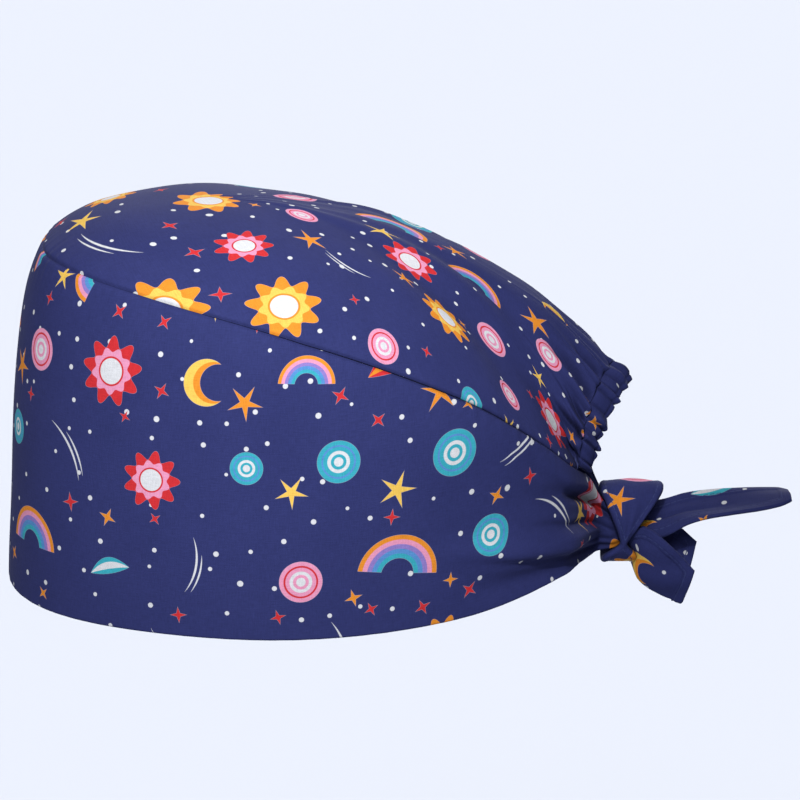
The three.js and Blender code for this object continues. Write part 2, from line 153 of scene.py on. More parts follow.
LONG_TAIL_CREASE_WIDTH = 0.16
SHORT_TAIL_LENGTH = 27.0
SHORT_TAIL_DEPTH = 17.0
SHORT_TAIL_FOLD = 1.25
SHORT_TAIL_BULGE = 0.1
SHORT_TAIL_WAVE = 0.45
TIE_WALL = 1.6
TIE_FLAT = 0.6
LONG_TAIL_ROLL = 0.4
SHORT_TAIL_ROLL = 0.8
TIE_EDGE = 0.8
TIE_EDGE_LEAST = 0.04
HEM = 4.0
HEM_END = 0.5
HEM_STITCH = 3.4
HEM_STITCH_WIDTH = 0.4

# Cloth and seams
CLOTH = 0.9
SEAM_GAP = 0.3
STITCH_GAP = 0.05
SEAM_SINK = 0.8
SEAM_GROOVE = 0.75
PUCKER_HEIGHT = 0.3
PUCKER_PITCH = 4.6
PUCKER_FADE = 5.0
SEWN_SPREAD = 3
RIM_ROUND = 0.9
RIM_HEM = 11
RIM_HEM_END = 12.5
RIM_HEM_WALL = 0.5
RIM_RIPPLE = 0.12
RIM_RIPPLE_PITCH = 9
RIM_RIPPLE_FADE = 8

# Gentle unevenness of the cloth, and the broad folds over the gathers as a height, turns and a phase
CROWN_RELIEF = 0.45
CROWN_RELIEF_SIZE = 46
BAND_RELIEF = 0.4
BAND_RELIEF_SIZE = 58
BROAD_FOLD = (0.7, 7.0, 0.6)
BROAD_FOLD_FADE = 60.0
RIPPLE_WAVES = 5
RIPPLE_PITCHES = (0.75, 1.45)
RELIEF_WAVES = 9
RELIEF_PITCHES = (0.6, 1.7)
RELIEF_SCALE = 4

# Half of the cap from the forehead to the knot: angle in degrees, rim, top and dome as shares of
# FRONT_HEIGHT, and the crown's fullness
STATIONS = np.array([
    (0, 0, 1, 1, 2.3),
    (30, 0.007, 1.005, 1.005, 2.3),
    (60, 0.021, 0.965, 0.965, 2.2),
    (90, 0.03, 0.868, 0.868, 2.1),
    (120, 0.062, 0.688, 0.75, 2),
    (140, 0.101, 0.518, 0.68, 2),
    (148, 0.111, 0.444, 0.667, 2),
    (CROWN_END_ANGLE, 0.104, 0.385, 0.662, 2.1),
    (SEAM_END_ANGLE, 0.083, 0.335, 0.658, 2.15),
    (163, 0.07, 0.285, 0.654, 2.15),
    (NAPE_NECK_ANGLE, 0.07, 0.205, 0.65, 2.15),
    (BAND_END_ANGLE, 0.085, 0.18, 0.648, 2.15),
    (180, 0.085, 0.18, 0.647, 2.15),
])
RIM, TOP, DOME, FULLNESS = 1, 2, 3, 4

# Folds of the band towards the knot: from angle, from height, to angle, to height (shares of the band's
# height), depth (share of SHOULDER_ROLL, a valley if negative) and width (share of HALF_WIDTH)
BAND_FOLDS = [
    (112, 0.3, 172, 0.3, 0.35, 0.075),
    (118, 0.12, 172, 0.1, -0.35, 0.06),
    (130, 0.62, 172, 0.66, -0.35, 0.08),
    (138, 0.84, 172, 0.86, 0.2, 0.07),
    (134, 0.44, 173, 0.46, -0.22, 0.022),
    (146, 0.2, 173, 0.24, -0.2, 0.018),
    (148, 0.74, 173, 0.8, -0.2, 0.02),
    (142, 0.34, 173, 0.36, 0.14, 0.02),
    (112, 0.33, 178, 0.12, 0.24, 0.055),
    (118, 0.28, 178, 0.06, -0.3, 0.02),
    (141, 0.72, 176, 0.8, -0.32, 0.03),
    (141, 0.64, 176, 0.62, 0.22, 0.045),
    (120, 0.9, 166, 0.7, -0.12, 0.03),
]
BAND_FOLD_NARROWING = 0.55

# Soft hollows and swells of the crown: angle, reach, half width in degrees, half length, depth
CROWN_DENTS = [
    (62, 0.8, 18, 0.16, -0.2),
    (128, 0.66, 9, 0.16, 0.15),
    (143, 0.74, 7, 0.16, -0.25),
    (155, 0.6, 7, 0.2, 0.2),
    (166, 0.7, 5, 0.16, -0.2),
]

# Creases and ridges that run up the crown from the gathers: place on the arch from its foot to its top and
# drift of the far end, as shares of the arch, then length, half width and depth
ARCH_FOLDS = [
    (0.07, -0.16, 17, 1.5, -2.0),
    (0.15, -0.2, 22, 2.1, 1.5),
    (0.24, -0.18, 30, 1.7, -2.9),
    (0.32, -0.14, 20, 1.9, 1.9),
    (0.39, -0.04, 19, 1.3, -2.2),
    (0.47, -0.08, 31, 2.3, 1.7),
    (0.56, -0.06, 38, 1.9, -2.9),
    (0.65, 0.02, 22, 1.9, 1.4),
    (0.73, 0.05, 20, 1.4, -1.9),
    (0.82, 0.0, 34, 2.7, 1.0),
    (0.91, 0.05, 46, 2.3, -1.1),
]
ARCH_FOLD_SIDE = (0.03, 2.2)
ARCH_FOLD_BEND = (0.02, 5)
ARCH_FOLD_WIDTH = 0.75
ARCH_FOLD_WIDENING = 0.9
ARCH_FOLD_FADE = 0.25
ARCH_FOLD_ROOT = 1.5

# The long tail: along, x, z as shares of its length, width as a share, and its lean from upright in degrees
LONG_TAIL = np.array([
    (0, 0, 0.03, 0.55, 6),
    (0.1, -0.02, 0.04, 0.66, 25),
    (0.25, -0.08, 0.04, 0.9, 55),
    (0.4, -0.11, 0.085, 1, 72),
    (0.65, -0.13, 0.12, 1, 84),
    (0.93, -0.13, 0.16, 0.9, 89),
    (1, -0.13, 0.165, 0.6, 90),
])

# The short tail, folded lengthwise: along, then fold x, z, near edge x, z, y and far edge x, z, y as shares
# of its folded depth
SHORT_TAIL = np.array([
    (0.04, 0.18, -0.72, 0.57, 0.02, 0, -0.42, 0.14, 0),
    (0.2, 0.3, -1.25, 0.6, 0.05, 0.1, -0.42, 0.08, 0.08),
    (0.5, 0.45, -1.56, 0.7, -0.3, 0.14, -0.5, -0.2, 0.24),
    (0.8, 0.5, -1.7, 0.7, -0.9, 0.22, -0.47, -0.7, 0.35),
])


# Cloth forms, worked out for whole grids of angles and shares at once
def smooth_value(rows, column, at):
    """Smooth value of one column of a table, which starts level."""
    x, y = rows[:, 0], rows[:, column]
    at = np.clip(at, x[0], x[-1])
    slope = np.zeros(len(x))
    slope[1:-1] = (y[2:] - y[:-2]) / (x[2:] - x[:-2])
    slope[-1] = (y[-1] - y[-2]) / (x[-1] - x[-2])
    i = np.clip(np.searchsorted(x, at) - 1, 0, len(x) - 2)
    span = x[i + 1] - x[i]
    t = (at - x[i]) / span
    ease = t * t * (3 - 2 * t)
    enter = t * (1 - t) ** 2 * span * slope[i]
    leave = t * t * (t - 1) * span * slope[i + 1]
    return y[i] + (y[i + 1] - y[i]) * ease + enter + leave


def smoothstep(value, low, high):
    t = np.clip((value - low) / (high - low), 0, 1)
    return t * t * (3 - 2 * t)


def bell(place, width):
    return np.exp(-((place / width) ** 2))


def closed(grid):
    """The grid with its first column once more at its end."""
    return np.concatenate([grid, grid[:, :1]], axis=1)


def mix(a, b, t):
    return a + (b - a) * t


def points(*parts):
    """A grid of points from the grids of their parts, such as x, y and z."""
    return np.stack(np.broadcast_arrays(*parts), axis=-1).astype(float)


def unit(v):
    return v / np.maximum(np.linalg.norm(v, axis=-1, keepdims=True), 1e-12)


LEAN_OUTLINE = (FRONT_REACH - FRONT_LEAN, REAR_REACH - REAR_LEAN, HALF_WIDTH - SIDE_LEAN)
RIM_OUTLINE = (FRONT_REACH, REAR_REACH, HALF_WIDTH)
SEAM_OUTLINE = (LEAN_OUTLINE[0] - SHOULDER_ROLL, LEAN_OUTLINE[1], LEAN_OUTLINE[2] - SHOULDER_ROLL)
APEX = np.array((0.0, -APEX_FORWARD, FRONT_HEIGHT + CROWN_RISE))


def oval(angle):
    """Place across and along the cap's rounded plan, each from -1 to 1."""
    turn = np.radians(angle)
    return np.sign(angle) * np.abs(np.sin(turn)) ** OUTLINE_POWER, -np.cos(turn)


def outline_point(outline, angle):
    front, rear, side = outline
    around = np.abs(angle)
    across, along = oval(angle)
    reach = np.where(along < 0, front, rear) * along
    drawn_in = smoothstep(around, NAPE_START_ANGLE, NAPE_NECK_ANGLE)
    nose = NAPE_NOSE * smoothstep(around, NAPE_NOSE_ANGLE, BAND_END_ANGLE)
    return points(mix(side * across, np.sign(angle) * NAPE_NECK, drawn_in), reach + nose, 0)


def rim_height(angle):
    return FRONT_HEIGHT * smooth_value(STATIONS, RIM, np.abs(angle))


def top_height(angle):
    return FRONT_HEIGHT * smooth_value(STATIONS, TOP, np.abs(angle))


def band_point(angle, share):
    """Share 0 is the rim and share 1 the band's upper edge."""
    angle, share = np.broadcast_arrays(angle, share)
    rim = outline_point(RIM_OUTLINE, angle)
    wall = outline_point(LEAN_OUTLINE, angle)
    seam = outline_point(SEAM_OUTLINE, angle)
    p = rim + (wall - rim) * (share**LEAN_POWER)[..., None]
    p += (seam - wall) * (share**ROLL_POWER)[..., None]
    p[..., 2] = mix(rim_height(angle), top_height(angle), share)
    return p


CROWN_END = band_point(np.array(CROWN_END_ANGLE), np.array(1.0))


def arch_climb(angle):
    return math.pi / 2 * (np.abs(angle) - CROWN_END_ANGLE) / (180 - CROWN_END_ANGLE)


def crown_edge(angle):
    climb = np.maximum(arch_climb(angle), 0)
    arch = points(
        np.sign(angle) * (CROWN_END[0] * np.cos(climb) + ARCH_BULGE * np.sin(2 * climb)),
        CROWN_END[1] + ARCH_REACH * (1 - np.cos(climb)),
        CROWN_END[2] + ARCH_RISE * np.sin(climb),
    )
    return np.where((arch_climb(angle) > 0)[..., None], arch, band_point(angle, 1.0))


ARCH_TOP = crown_edge(np.array(180.0))


def dome_edge(angle):
    across, along = oval(angle)
    reach = np.where(along < 0, SEAM_OUTLINE[0], ARCH_TOP[1])
    height = FRONT_HEIGHT * smooth_value(STATIONS, DOME, np.abs(angle))
    return points(SEAM_OUTLINE[2] * across, reach * along, height)


def crown_point(angle, reach):
    """Reach 0 is the crown's top and reach 1 its edge."""
    angle, reach = np.broadcast_arrays(angle, reach)
    edge = dome_edge(angle)
    p = APEX + (edge - APEX) * reach[..., None]
    fullness = smooth_value(STATIONS, FULLNESS, np.abs(angle))
    drop = mix(reach**fullness, reach**EDGE_ROLL_POWER, EDGE_ROLL)
    p[..., 2] = mix(APEX[2], edge[..., 2], drop)
    pull = 0.0
    offs = np.linspace(-1, 1, PULL_SAMPLES)
    weights = np.cos(offs * math.pi / 2 * PULL_CUT) ** 2
    weights /= weights.sum()
    for off, weight in zip(offs, weights):
        turned = angle + off * PULL_SPREAD * (1 - reach)
        place = np.where(turned > 180, turned - 360, np.where(turned < -180, turned + 360, turned))
        pull += (crown_edge(place) - dome_edge(place)) * weight
    return p + pull * (reach**EDGE_HOLD)[..., None]


def casing_point(angle, share):
    """The casing runs back and down from the stitch line to its free edge, which is share 1."""
    angle, share = np.broadcast_arrays(angle, share)
    climb = arch_climb(angle)[..., None]
    run = unit(np.array(CASING_LOW) * np.cos(climb) ** 2 + np.array(CASING_TOP) * np.sin(climb))
    run[..., 0] *= np.sign(angle)
    return crown_edge(angle) + run * (share * CASING_DEPTH)[..., None]


def grid_normals(grid, middle, wraps=False):
    """Unit normals of a grid of points, turned away from a middle point."""
    if wraps:
        across = np.roll(grid, -1, axis=1) - np.roll(grid, 1, axis=1)
    else:
        across = np.gradient(grid, axis=1)
    normal = unit(np.cross(across, np.gradient(grid, axis=0)))
    away = np.sum(normal * (grid - np.array(middle)), axis=-1, keepdims=True)
    return np.where(away < 0, -normal, normal)


def lengths_along(grid, axis):
    """Running length of cloth along one axis of a grid, from its start."""
    step = np.linalg.norm(np.diff(grid, axis=axis), axis=-1)
    start = np.zeros_like(np.take(step, [0], axis=axis))
    return np.concatenate([start, np.cumsum(step, axis=axis)], axis=axis)


def ripple(place, pitch, seed):
    """An uneven wave of about that pitch, between -1 and 1, the same each run."""
    rng = np.random.default_rng(seed)
    total = 0.0
    for _ in range(RIPPLE_WAVES):
        own_pitch = pitch * rng.uniform(*RIPPLE_PITCHES)
        total += np.sin(2 * math.pi * place / own_pitch + rng.uniform(0, 2 * math.pi))
    return total / RIPPLE_WAVES


def soft_relief(u, v, size, seed):
    """Gentle unevenness of hanging cloth over a surface, between about -1 and 1."""
    rng = np.random.default_rng(seed)
    total = 0.0
    for _ in range(RELIEF_WAVES):
        turn = rng.uniform(0, math.pi)
        pitch = size * rng.uniform(*RELIEF_PITCHES)
        place = u * math.cos(turn) + v * math.sin(turn)
        total += np.sin(2 * math.pi * place / pitch + rng.uniform(0, 2 * math.pi))
    return total / RELIEF_SCALE


# Meshes
def add_object(name, data):
    holder = bpy.data.objects.new(name, data)
    bpy.context.scene.collection.objects.link(holder)
    return holder


FAR_FROM_STITCHES = 90.0


def sheet_mesh(name, outer, inner, uv, stitch=None, wraps=False, pole=False):
    """A closed sheet from an outer and an inner grid of points in millimetres. uv is in millimetres of cloth,
    and has one more column than the points where the sheet wraps round, and so has stitch, which holds the
    distance from a row of stitches and the place along it. Inner faces take the second material."""
    rows, columns = outer.shape[:2]
    across = columns if wraps else columns - 1

    def number(r, c, inside):
        column = 0 if pole and r == rows - 1 else c % columns
        return inside * rows * columns + r * columns + column

    faces, corners, slots = [], [], []

    def quad(places, slot):
        loop = []
        for r, c, inside in places:
            vertex = number(r, c, inside)
            if vertex not in [v for v, _ in loop]:
                loop.append((vertex, (r, c)))
        faces.append([v for v, _ in loop])
        corners.append([place for _, place in loop])
        slots.append(slot)

    last_row, last_column = rows - 1, columns - 1
    for r in range(last_row):
        for c in range(across):
            quad([(r, c, 0), (r, c + 1, 0), (r + 1, c + 1, 0), (r + 1, c, 0)], 0)
            quad([(r, c + 1, 1), (r, c, 1), (r + 1, c, 1), (r + 1, c + 1, 1)], 1)
    for c in range(across):
        quad([(0, c + 1, 0), (0, c, 0), (0, c, 1), (0, c + 1, 1)], 0)
        if not pole:
            quad([(last_row, at, side) for at, side in ((c, 0), (c + 1, 0), (c + 1, 1), (c, 1))], 0)
    if not wraps:
        for r in range(last_row):
            quad([(r, 0, 0), (r + 1, 0, 0), (r + 1, 0, 1), (r, 0, 1)], 0)
            quad([(at, last_column, side) for at, side in ((r + 1, 0), (r, 0), (r, 1), (r + 1, 1))], 0)

    places = np.concatenate([outer.reshape(-1, 3), inner.reshape(-1, 3)])
    if volume_of(places, faces) < 0:
        faces = [face[::-1] for face in faces]
        corners = [loop[::-1] for loop in corners]
    used = sorted({v for face in faces for v in face})
    new = {old: now for now, old in enumerate(used)}
    mesh = bpy.data.meshes.new(name)
    mesh.from_pydata((places[used] * MM).tolist(), [], [[new[v] for v in face] for face in faces])
    index = np.array([place for loop in corners for place in loop])
    if stitch is None:
        stitch = np.full(uv.shape, FAR_FROM_STITCHES)
    for layer_name, values in (("cloth", uv), ("stitches", stitch)):
        layer = mesh.uv_layers.new(name=layer_name)
        layer.data.foreach_set("uv", (values[index[:, 0], index[:, 1]] * MM).astype(np.float32).ravel())
    mesh.polygons.foreach_set("material_index", slots)
    mesh.shade_smooth()
    mesh.validate()
    return add_object(name, mesh)


def volume_of(places, faces):
    a, b, c, d = (places[[face[i] for face in faces]] for i in (0, 1, 2, -1))
    return np.sum(np.cross(a, b) * c) + np.sum(np.cross(a, c) * d)


# The crown
CROWN_REACHES = np.concatenate([
    [1, 0.998, 0.995, 0.991, 0.986, 0.98, 0.972, 0.963, 0.953, 0.942],
    np.linspace(0.93, 0.4, 40),
    np.linspace(0.38, 0.03, 13),
    [0],
])
SEAM_COLUMNS = 210
ARCH_COLUMNS = 140


def half_angles():
    seam = np.linspace(0, CROWN_END_ANGLE, SEAM_COLUMNS, endpoint=False)
    arch = np.linspace(CROWN_END_ANGLE, 180, ARCH_COLUMNS + 1)
    return np.concatenate([seam, arch])


def arch_share(angle):
    """Share of the arch from its foot, 0, to its top, 1."""
    return np.clip(arch_climb(angle) / (math.pi / 2), 0, 1)


def uneven(place, wave, side=0.0):
    height, turns, phase = wave
    return height * np.sin(place * turns + phase + side)


def far_phase(angle):
    return np.where(angle < 0, FAR_SIDE_PHASE, 0)


def gather_place(angle):
    """Counts the gathers from the arch's foot to its top, unevenly spaced."""
    past = arch_share(angle)
    return past * GATHERS / 2 + sum(uneven(past, wave, far_phase(angle)) for wave in PLACE_WAVES)


def gather_wave(angle):
    """Round ridges of the gathered cloth with sharp creases between them."""
    past = arch_share(angle)
    place = gather_place(angle) % 1
    ridge = np.clip(1 - np.abs(2 * place - 1) ** RIDGE_SHARPNESS, 0, 1) ** RIDGE_FULLNESS
    height = RIDGE_HEIGHT + uneven(past, HEIGHT_WAVE, far_phase(angle))
    return ridge * height * smoothstep(past, 0, GATHER_START)


def gather_reach(angle):
    """How far up the crown each gather runs, in millimetres."""
    return GATHER_FADE * (GATHER_REACH + uneven(gather_place(angle), REACH_WAVE))


def arch_folds(angle, from_edge):
    """The uneven creases and ridges above the gathers."""
    climb = arch_climb(angle) / (math.pi / 2)
    length = math.pi / 2 * ARCH_RISE
    height = 0.0
    shift, shift_turns = ARCH_FOLD_SIDE
    bend, bend_turns = ARCH_FOLD_BEND
    for number, (place, drift, reach, width, depth) in enumerate(ARCH_FOLDS):
        run = np.clip(from_edge / reach, 0, 1)
        side = np.where(angle < 0, shift * math.sin(number * shift_turns), 0)
        middle = place + side + drift * run + bend * np.sin(run * bend_turns + number)
        off = (climb - middle) * length / (width * (ARCH_FOLD_WIDTH + ARCH_FOLD_WIDENING * run))
        height += depth * np.exp(-off * off) * (1 - smoothstep(run, ARCH_FOLD_FADE, 1))
    return height * smoothstep(from_edge, 0, ARCH_FOLD_ROOT)


def crown_dents(angle, reach):
    height = 0.0
    for dent_angle, dent_reach, across, along, depth in CROWN_DENTS:
        a = (np.abs(angle) - dent_angle) / across
        b = (reach - dent_reach) / along
        height += depth * SHOULDER_ROLL * np.exp(-a * a - b * b)
    return height


def seam_profile(from_edge, along):
    """How the cloth sinks into a seam and puckers beside it."""
    groove = -SEAM_SINK * bell(from_edge, SEAM_GROOVE)
    pucker = PUCKER_HEIGHT * ripple(along, PUCKER_PITCH, 7) * np.exp(-from_edge / PUCKER_FADE)
    return groove + pucker * (1 - bell(from_edge, SEAM_GROOVE))


def sewn_share(angle):
    """1 where the crown and the band are sewn together, and 0 above the arch's foot."""
    return smoothstep(CROWN_END_ANGLE + SEWN_SPREAD - np.abs(angle), 0, SEWN_SPREAD)


def crown_panel():
    half = half_angles()
    angles = np.concatenate([half, -half[-2:0:-1]])[None, :]
    edge = crown_point(angles, np.array([[1.0], [0.95]]))
    unit_length = np.linalg.norm(edge[0] - edge[1], axis=-1) / 0.05
    gap = np.where(np.abs(angles) > CROWN_END_ANGLE, STITCH_GAP, SEAM_GAP)
    reaches = CROWN_REACHES[:, None] * (1 - gap / 2 / unit_length)
    base = crown_point(angles, reaches)
    normal = grid_normals(base, (0, 0, FRONT_HEIGHT / 3), wraps=True)
    normal[-1] = (0, 0, 1)
    from_edge = lengths_along(base, 0)
    from_top = from_edge[-1:] - from_edge
    along_edge = lengths_along(base[:1], 1)
    sewn = sewn_share(angles)
    swell = gather_wave(angles) * GATHER_HEIGHT * np.exp(-from_edge / gather_reach(angles))
    turn = np.radians(angles)
    u = from_top * np.sin(turn)
    v = -from_top * np.cos(turn)
    relief = CROWN_RELIEF * soft_relief(u, v, CROWN_RELIEF_SIZE, 3)
    relief = relief * smoothstep(from_edge, 2, 14) * smoothstep(from_top, 0, 30)
    climb = arch_climb(angles)
    folds = uneven(climb, BROAD_FOLD) * np.exp(-from_edge / BROAD_FOLD_FADE)
    folds = folds * smoothstep(climb, -0.5, 0.3) * smoothstep(from_edge, 6, 30)
    stitched = -ARCH_STITCH_DEPTH * bell(from_edge, ARCH_STITCH_WIDTH) * (1 - sewn)
    out = crown_dents(angles, reaches) + arch_folds(angles, from_edge) + swell + relief + folds + stitched
    out = out + seam_profile(from_edge, along_edge) * sewn
    outer = base + normal * out[..., None]
    inner = base + normal * (out - CLOTH)[..., None]
    piece = sheet_mesh("crown_panel_cloth", outer, inner, closed(points(u, v)), wraps=True, pole=True)
    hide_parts("crown_panel")
    return piece


# The side band
BAND_SHARES = np.concatenate([
    [0, 0.001, 0.003, 0.006, 0.01, 0.016, 0.024],
    np.linspace(0.036, 0.93, 42),
    [0.945, 0.957, 0.967, 0.976, 0.983, 0.989, 0.994, 0.998, 1],
])
BAND_SEAM_COLUMNS = 320
BAND_FREE_COLUMNS = 40


def fold_height(angle, share):
    around = np.abs(angle)
    height = 0.0
    tall = top_height(angle) - rim_height(angle)
    for from_angle, from_height, to_angle, to_height, depth, width in BAND_FOLDS:
        run = np.clip((around - from_angle) / (to_angle - from_angle), 0, 1)
        middle = mix(from_height, to_height, run)
        off = ((share - middle) * tall) / (width * HALF_WIDTH * mix(1, BAND_FOLD_NARROWING, run))
        height += depth * SHOULDER_ROLL * np.sin(run * math.pi) * np.exp(-off * off)
    return height


def side_band():
    seam = np.linspace(0, CROWN_END_ANGLE, BAND_SEAM_COLUMNS, endpoint=False)
    free = np.linspace(CROWN_END_ANGLE, BAND_END_ANGLE, BAND_FREE_COLUMNS + 1)
    half = np.concatenate([seam, free])
    angles = np.concatenate([-half[:0:-1], half])[None, :]
    tall = top_height(angles) - rim_height(angles)
    shares = BAND_SHARES[:, None] * (1 - SEAM_GAP / 2 / tall)
    base = band_point(angles, shares)
    normal = grid_normals(base, (0, 0, FRONT_HEIGHT / 3))
    height = lengths_along(base, 0)
    from_top = height[-1:] - height
    around = lengths_along(base[len(BAND_SHARES) // 2][None], 1)
    around = around - around[:, around.shape[1] // 2][:, None]
    relief = BAND_RELIEF * soft_relief(around, height, BAND_RELIEF_SIZE, 11)
    relief = relief * smoothstep(from_top, 2, 16) * smoothstep(height, 0, 25)
    rim = -RIM_ROUND * (1 - np.sqrt(np.clip(1 - (1 - np.clip(height / RIM_ROUND, 0, 1)) ** 2, 0, 1)))
    hem = RIM_RIPPLE * ripple(around, RIM_RIPPLE_PITCH, 23) * np.exp(-height / RIM_RIPPLE_FADE)
    out = fold_height(angles, shares) + relief + seam_profile(from_top, around) * sewn_share(angles) + hem
    doubled = RIM_HEM_WALL * (1 - smoothstep(height, RIM_HEM, RIM_HEM_END))
    outer = base + normal * (out + rim)[..., None]
    inner = base + normal * (out - CLOTH - doubled - rim * 0.5)[..., None]
    piece = sheet_mesh("side_band_cloth", outer, inner, points(around, height))
    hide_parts("side_band")
    return piece


# The elastic casing
CASING_ROWS = 22
CASING_COLUMNS = 190


def elastic_casing():
    arch = np.linspace(CROWN_END_ANGLE + CASING_START, 180, CASING_COLUMNS)
    angles = np.concatenate([arch, -arch[-2::-1]])[None, :]
    shares = np.linspace(STITCH_GAP / CASING_DEPTH, 1, CASING_ROWS)[:, None]
    wave = gather_wave(angles)
    scallop = 1 + SCALLOP * (wave - SCALLOP_LEVEL) * shares**2
    base = casing_point(angles, shares * scallop)
    normal = grid_normals(base, (0, CROWN_END[1] - CASING_DEPTH, CROWN_END[2]))
    across = (shares - shares[0]) / (1 - shares[0])
    puff = CASING_PUFF * np.sin(math.pi * mix(CASING_EDGE_PUFF, 1 - CASING_EDGE_PUFF, across))
    stitch = -CASING_STITCH_DEPTH * bell(across - CASING_STITCH, CASING_STITCH_WIDTH)
    sway = RUFFLE_SWAY * np.sin(across * RUFFLE_TURNS[0] + angles * RUFFLE_TURNS[1])
    ruffle = (wave - RUFFLE_LEVEL) * GATHER_HEIGHT * (1 + sway)
    outer = base + normal * (puff + ruffle + stitch)[..., None]
    inner = base + normal * (RUFFLE_INSIDE * np.minimum(ruffle, RUFFLE_INSIDE) - CLOTH - puff)[..., None]
    around = lengths_along(base[:1], 1) * CASING_TAKE_UP
    piece = sheet_mesh("elastic_casing_cloth", outer, inner, points(around, CASING_DEPTH * across))
    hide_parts("elastic_casing")
    return piece


# The knot and its tails
BAND_END = band_point(np.array(BAND_END_ANGLE), np.array(0.5))
KNOT = np.array((0.0, BAND_END[1] + WRAP_LEAN, BAND_END[2] + KNOT_LIFT))


def knot_wrap():
    """The strand that goes round the knot: a wide flap over the top that narrows to a point underneath."""
    rows, columns = 70, 240
    turn = (np.arange(columns) / columns * 2 * math.pi)[None, :]
    shares = np.linspace(-1, 1, rows)[:, None]
    lift = (1 + np.sin(turn)) / 2
    widening = np.clip((lift - WRAP_POINT_HEIGHT) / (1 - WRAP_POINT_HEIGHT), 0, 1) ** WRAP_TAPER
    under = WRAP_UNDER_LENGTH * smoothstep(-lift, -WRAP_POINT_HEIGHT, -WRAP_UNDER_TOP)
    half = (mix(WRAP_POINT_LENGTH, WRAP_TOP_LENGTH, widening) + under) / 2
    crest = 1 - WRAP_CREST * shares**2 * lift
    pleat = WRAP_PLEAT * np.sin(shares * WRAP_PLEAT_TURNS[0] + WRAP_PLEAT_TURNS[1] * np.sin(turn))
    pleat = pleat * np.sin(math.pi * widening) ** 0.7
    from_edge = (1 - np.abs(shares)) * half
    hem = WRAP_HEM_RISE * (1 - smoothstep(from_edge, WRAP_STITCH * 1.1, WRAP_STITCH * 1.24))
    stitch_dip = -WRAP_STITCH_DEPTH * bell(from_edge - WRAP_STITCH, FINE_FADE)
    rounded = -WRAP_EDGE_ROUND * np.exp(-from_edge / FINE_FADE)
    proud = pleat + (hem + stitch_dip) * smoothstep(half, 2, 5) + rounded

    def ring(inset):
        return points(
            KNOT[0] + (WRAP_HALF_WIDTH - inset) * np.cos(turn) * crest,
            KNOT[1] + WRAP_LEAN * np.sin(turn) + half * shares,
            KNOT[2] + (WRAP_HEIGHT / 2 - inset) * np.sin(turn) * crest,
        )

    around = np.arange(columns + 1)[None, :] / columns * 2 * math.pi * WRAP_HALF_WIDTH
    uv = points(around, closed(half * shares))
    stitch = points(closed(from_edge - WRAP_STITCH), around)
    inner = ring(TIE_WALL - np.clip(pleat, -0.4, 0))
    piece = sheet_mesh("knot_wrap_cloth", ring(-proud), inner, uv, stitch, wraps=True)
    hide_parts("knot_wrap")
    return piece


def knot_strand():
    """The bunched strand that crosses inside the ring of the knot."""
    u = np.linspace(-1, 1, 60)[:, None]
    v = u.T
    x = u * np.sqrt(1 - v * v / 2)
    z = v * np.sqrt(1 - u * u / 2)
    radius = np.sqrt(x * x + z * z)
    slant = STRAND_SLANT[0] * x + STRAND_SLANT[1] * z
    cross = STRAND_SLANT[1] * x - STRAND_SLANT[0] * z
    folds, sway = STRAND_PLEAT_TURNS
    pleat = STRAND_PLEAT * np.sin(cross * folds + sway * slant) * (1 - 0.5 * radius)
    depth = STRAND_BULGE * (1 - radius**2) + pleat

    def layer(inset):
        return points(
            KNOT[0] + STRAND_HALF_WIDTH * x,
            KNOT[1] + WRAP_LEAN * z + depth - inset,
            KNOT[2] + STRAND_HALF_HEIGHT * z,
        )

    uv = points(STRAND_HALF_WIDTH * x, STRAND_HALF_HEIGHT * z) + STRAND_PRINT
    piece = sheet_mesh("knot_strand_cloth", layer(0), layer(TIE_WALL), uv)
    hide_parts("knot_wrap")
    return piece


def strip_cloth(name, middle, uv, from_edge, roll):
    """A flat strip of folded cloth about a grid of middle points, with a roll in the hems at its edges."""
    normal = unit(np.cross(np.gradient(middle, axis=1), np.gradient(middle, axis=0)))
    hem = 1 - smoothstep(from_edge, HEM, HEM + HEM_END)
    groove = bell(from_edge - HEM_STITCH, HEM_STITCH_WIDTH)
    rounded = np.sqrt(np.clip(1 - (1 - np.clip(from_edge / TIE_EDGE, 0, 1)) ** 2, TIE_EDGE_LEAST, 1))
    half = (TIE_WALL / 2 * (TIE_FLAT + roll * (hem - groove / 2)) * rounded)[..., None]
    stitch = points(from_edge - HEM_STITCH, uv[..., 1])
    return sheet_mesh(name, middle + normal * half, middle - normal * half, uv, stitch)


